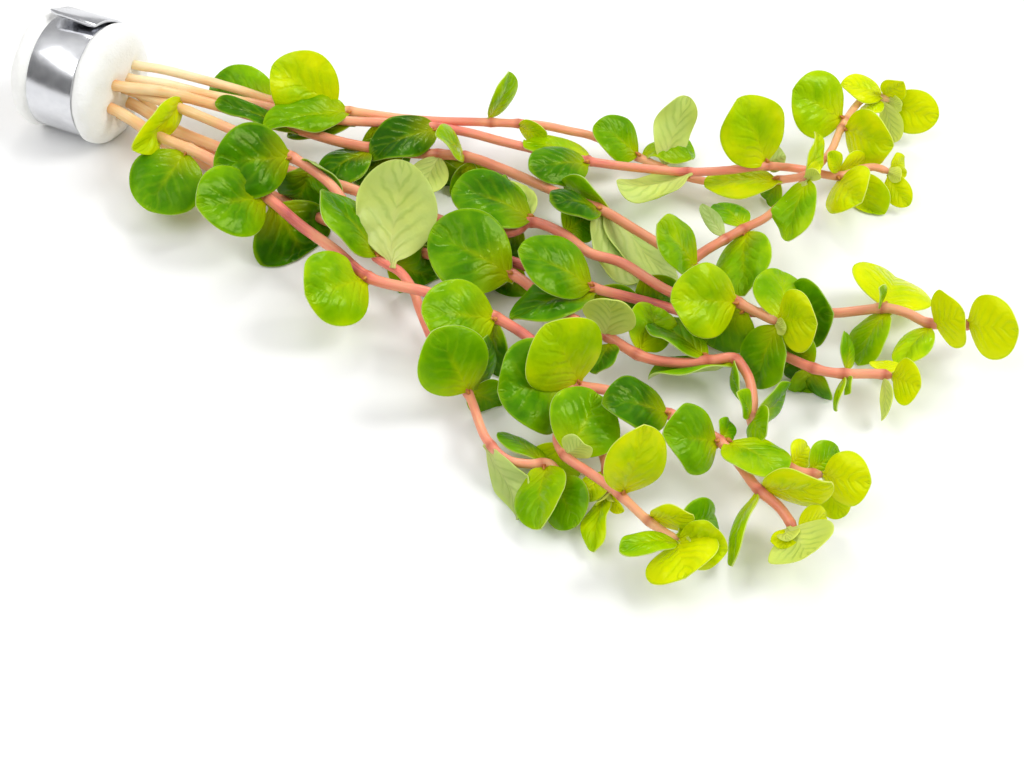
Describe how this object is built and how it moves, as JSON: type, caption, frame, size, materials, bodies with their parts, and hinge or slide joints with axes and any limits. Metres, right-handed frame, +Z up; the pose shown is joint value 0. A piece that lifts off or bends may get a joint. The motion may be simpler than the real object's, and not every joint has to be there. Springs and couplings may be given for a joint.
{
  "type": "dwarf rotala bunch",
  "caption": "Bunch of cut dwarf rotala stems with round paired leaves, lying down, held at the cut ends by a foam wad and a soft metal strip.",
  "frame": {"origin": "on the surface that the bunch rests on, under the middle of the foam, in the metal strip's flat bottom", "axes": "+X along the bunch from the cut ends to the tips, +Z up"},
  "size_m": [0.2099, 0.1385, 0.0255],
  "materials": {
    "foam": "soft open-cell foam",
    "strip": "smooth rolled metal",
    "stem": "wet",
    "leaf": "wet and glossy"
  },
  "bodies": {
    "root": {"foam_collar": "foam", "metal_strip": "strip", "stem_1": "stem", "stem_2": "stem", "stem_3": "stem", "stem_4": "stem", "stem_5": "stem", "stem_6": "stem", "stem_7": "stem", "stem_8": "stem", "side_shoot_1": "stem", "side_shoot_2": "stem", "side_shoot_3": "stem", "stem_1_leaf_1": "leaf", "stem_1_leaf_2": "leaf", "stem_1_leaf_3": "leaf", "stem_1_leaf_4": "leaf", "stem_1_leaf_5": "leaf", "stem_1_leaf_6": "leaf", "stem_1_leaf_7": "leaf", "stem_1_leaf_8": "leaf", "stem_2_leaf_1": "leaf", "stem_2_leaf_2": "leaf", "stem_2_leaf_3": "leaf", "stem_2_leaf_4": "leaf", "stem_2_leaf_5": "leaf", "stem_2_leaf_6": "leaf", "stem_3_leaf_1": "leaf", "stem_3_leaf_2": "leaf", "stem_3_leaf_3": "leaf", "stem_3_leaf_4": "leaf", "stem_3_leaf_5": "leaf", "stem_3_leaf_6": "leaf", "stem_3_leaf_7": "leaf", "stem_4_leaf_1": "leaf", "stem_4_leaf_2": "leaf", "stem_4_leaf_3": "leaf", "stem_5_leaf_1": "leaf", "stem_5_leaf_2": "leaf", "stem_6_leaf_1": "leaf", "stem_6_leaf_2": "leaf", "stem_7_leaf_1": "leaf", "stem_7_leaf_2": "leaf", "stem_7_leaf_3": "leaf", "stem_7_leaf_4": "leaf", "stem_7_leaf_5": "leaf", "stem_7_leaf_6": "leaf", "stem_7_leaf_7": "leaf", "stem_7_leaf_8": "leaf", "stem_7_leaf_9": "leaf", "stem_7_leaf_10": "leaf", "stem_8_leaf_1": "leaf", "stem_8_leaf_2": "leaf", "stem_8_leaf_3": "leaf", "stem_8_leaf_4": "leaf", "stem_8_leaf_5": "leaf", "side_shoot_1_leaf_1": "leaf", "side_shoot_2_leaf_1": "leaf", "side_shoot_2_leaf_2": "leaf"}
  },
  "joints": []
}
